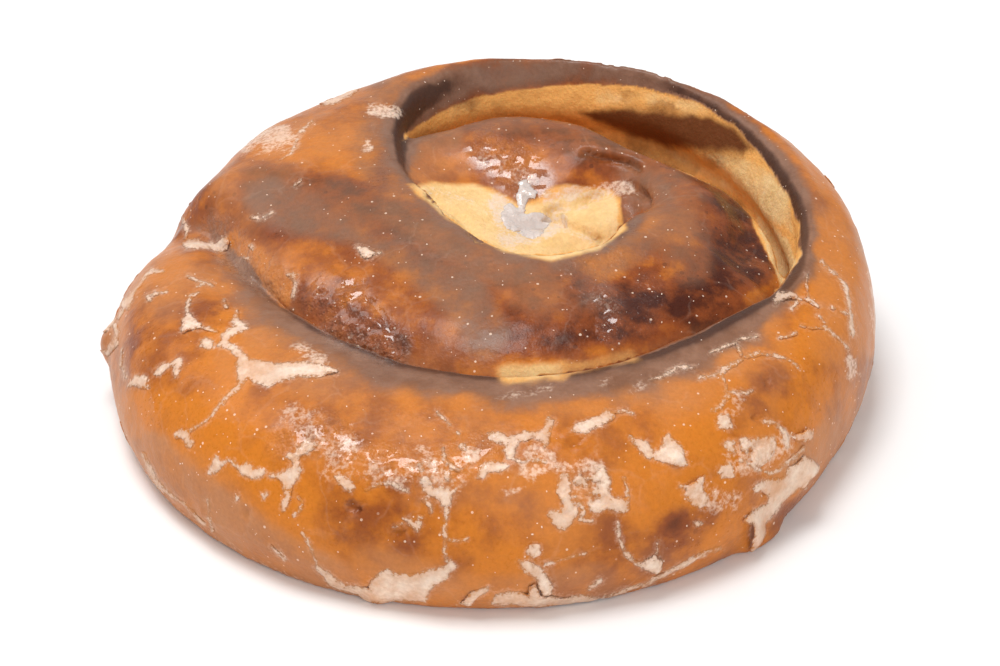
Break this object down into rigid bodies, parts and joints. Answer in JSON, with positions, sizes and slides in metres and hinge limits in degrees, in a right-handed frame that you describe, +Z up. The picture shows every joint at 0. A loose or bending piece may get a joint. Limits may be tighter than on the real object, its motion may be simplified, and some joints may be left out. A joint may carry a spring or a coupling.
{
  "type": "cinnamon roll",
  "caption": "Round glazed cinnamon roll: a strip of dough wound inwards, with an open crescent hollow behind the inner turn and a pale pit in the middle.",
  "frame": {"origin": "middle of the roll's round outline, on the flat base it was baked on", "axes": "+Z up through the roll, -Y towards the front, where the outer turn shows its widest side, +X to the right"},
  "size_m": [0.1234, 0.1216, 0.0311],
  "materials": {
    "glazed_crust": "glossy, baked crust under a thin cracked sugar glaze"
  },
  "bodies": {
    "root": {"roll": "glazed_crust"}
  },
  "joints": []
}
